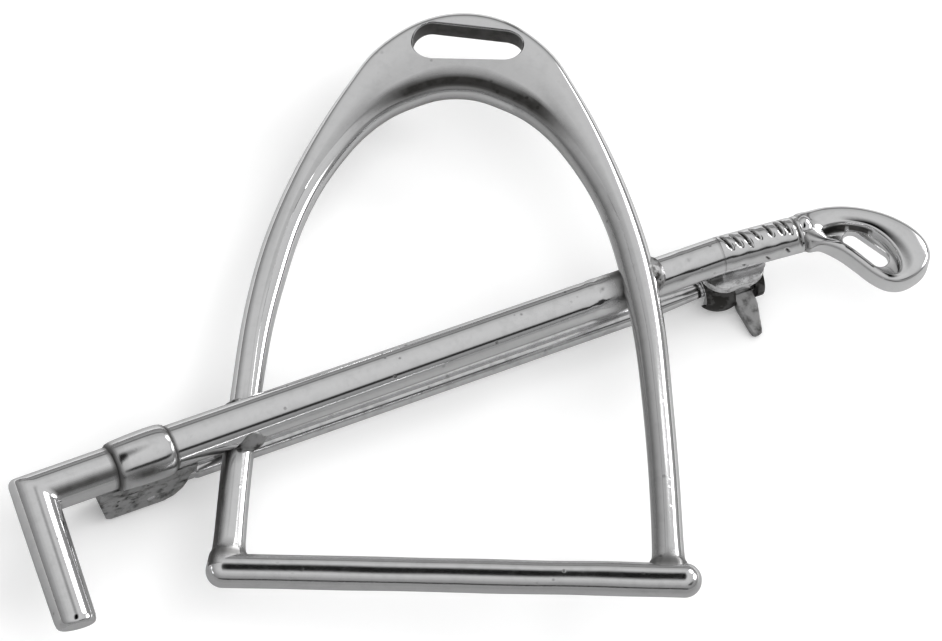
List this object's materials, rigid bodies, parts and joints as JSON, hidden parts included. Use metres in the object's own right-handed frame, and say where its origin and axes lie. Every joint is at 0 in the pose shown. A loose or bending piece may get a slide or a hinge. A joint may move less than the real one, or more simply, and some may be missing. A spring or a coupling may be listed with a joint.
{
  "type": "brooch",
  "caption": "Silver brooch in the form of a stirrup iron crossed by a hunting whip, with a hinged pin and a turning safety catch behind.",
  "frame": {"origin": "centre of the bounding box at its base, with the brooch lying on its back", "axes": "+Z out of the front face, +Y towards the stirrup's eye, +X to the viewer's right"},
  "size_m": [0.0499, 0.0398, 0.0072],
  "materials": {
    "polished": "polished cast silver with fine scratches, pits and darkened recesses",
    "findings": "duller silver, tarnished in the corners",
    "solder": "rough silver solder"
  },
  "bodies": {
    "brooch": {"stirrup_bow": "polished", "tread_bar": "polished", "whip_handle": "polished", "whip_collar": "polished", "whip_shaft": "polished", "whip_binding": "polished", "whip_knot": "polished", "whip_keeper": "polished", "hinge_plate": "findings", "hinge_ear_near": "findings", "hinge_ear_far": "findings", "hinge_rivet": "findings", "hinge_solder": "solder", "catch_plate": "findings", "catch_housing": "findings", "cross_solder_left": "solder", "cross_solder_right": "solder"},
    "pin": {"pin_stem": "findings"},
    "catch": {"catch_rotor": "findings", "catch_lever": "findings"}
  },
  "joints": [
    {"name": "pin_hinge", "type": "hinge", "parent": "brooch", "child": "pin", "pos_m": [-0.01719, -0.00865, 0.0014], "axis": [-0.4352, 0.9003, 0], "range_deg": [0, 100]},
    {"name": "catch_turn", "type": "hinge", "parent": "brooch", "child": "catch", "pos_m": [0.01378, 0.00633, 0.0014], "axis": [0.9003, 0.4352, 0], "range_deg": [0, 90]}
  ]
}
